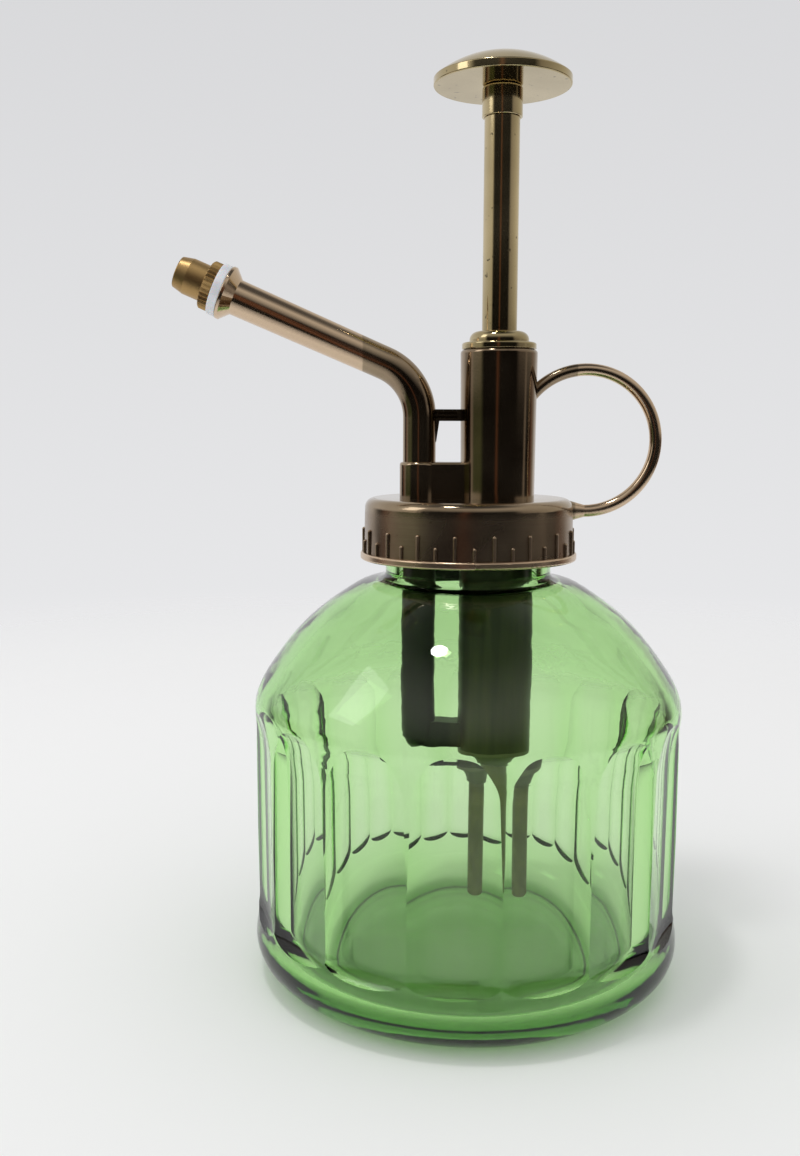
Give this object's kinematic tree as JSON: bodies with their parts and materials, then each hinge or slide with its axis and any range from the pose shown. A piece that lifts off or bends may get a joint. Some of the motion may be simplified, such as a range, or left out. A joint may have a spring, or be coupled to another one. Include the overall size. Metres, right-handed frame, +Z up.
{
  "type": "hand mister",
  "caption": "Short round panelled glass plant mister with a screwed-on pump head, finger ring, spray arm, adjustable nozzle and push-down knob.",
  "frame": {"origin": "on the bottle's axis, in the plane of the ring it stands on", "axes": "+Z up along the bottle, -X towards the spray arm, +X towards the finger ring"},
  "size_m": [0.0975, 0.0828, 0.1742],
  "materials": {
    "green_glass": "clear, thick pressed glass",
    "bronze_plating": "antique bronze plating on a moulding",
    "bronze_metal": "antique bronze over brass",
    "nozzle_brass": "bare turned brass",
    "pump_plastic": "dark grey",
    "valve_plastic": "grey",
    "piston_plastic": "natural white",
    "tube_plastic": "translucent grey",
    "white_plastic": "translucent white",
    "seal_rubber": "black",
    "ball_steel": "polished",
    "spring_steel": "drawn wire"
  },
  "bodies": {
    "bottle": {"bottle": "green_glass"},
    "gasket": {"neck_gasket": "seal_rubber"},
    "head": {"head_body": "bronze_plating", "pump_chamber": "pump_plastic", "foot_valve": "valve_plastic", "dip_tube": "tube_plastic", "ball_retainer": "valve_plastic", "return_spring": "spring_steel", "gland_cap": "bronze_metal", "rod_bush": "valve_plastic", "rod_wiper": "seal_rubber", "spray_arm": "bronze_plating", "arm_o_ring": "seal_rubber", "outlet_seat": "valve_plastic", "outlet_cage": "valve_plastic", "nozzle_washer": "white_plastic"},
    "inlet_check": {"inlet_ball": "ball_steel"},
    "outlet_check": {"outlet_ball": "ball_steel"},
    "carrier": {"spring_washer": "valve_plastic"},
    "plunger": {"piston": "piston_plastic", "piston_seal": "seal_rubber", "plunger_rod": "bronze_metal", "knob_ferrule": "bronze_metal", "knob": "bronze_metal"},
    "swirl": {"swirl_insert": "white_plastic"},
    "nozzle": {"nozzle": "nozzle_brass"}
  },
  "joints": [
    {"name": "head_lift", "type": "slide", "parent": "bottle", "child": "gasket", "axis": [0, 0, 1], "range_m": [0, 0.00423]},
    {"name": "head_unscrew", "type": "hinge", "parent": "gasket", "child": "head", "pos_m": [0, 0, 0.09], "axis": [0, 0, 1], "range_deg": [0, 360]},
    {"name": "plunger_press", "type": "slide", "parent": "head", "child": "carrier", "axis": [0, 0, -1], "range_m": [0, 0.038], "stiffness_N_per_m": 250, "springref_m": -0.02, "deforming": ["return_spring"]},
    {"name": "plunger_spin", "type": "hinge", "parent": "carrier", "child": "plunger", "pos_m": [0.0055, 0, 0.14], "axis": [0, 0, 1], "continuous": true},
    {"name": "inlet_lift", "type": "slide", "parent": "head", "child": "inlet_check", "axis": [0, 0, 1], "range_m": [0, 0.0015]},
    {"name": "outlet_lift", "type": "slide", "parent": "head", "child": "outlet_check", "axis": [0, 0, 1], "range_m": [0, 0.0015]},
    {"name": "nozzle_advance", "type": "slide", "parent": "head", "child": "swirl", "axis": [-0.9178, 0, 0.3971], "range_m": [0, 0.0015]},
    {"name": "nozzle_turn", "type": "hinge", "parent": "swirl", "child": "nozzle", "pos_m": [-0.0095, 0, 0.1155], "axis": [-0.9178, 0, 0.3971], "range_deg": [0, 720]}
  ],
  "couplings": [
    {"joint": "head_unscrew", "follows": "head_lift", "rad_per_m": 1484.3},
    {"joint": "nozzle_turn", "follows": "nozzle_advance", "rad_per_m": 8377.6}
  ]
}
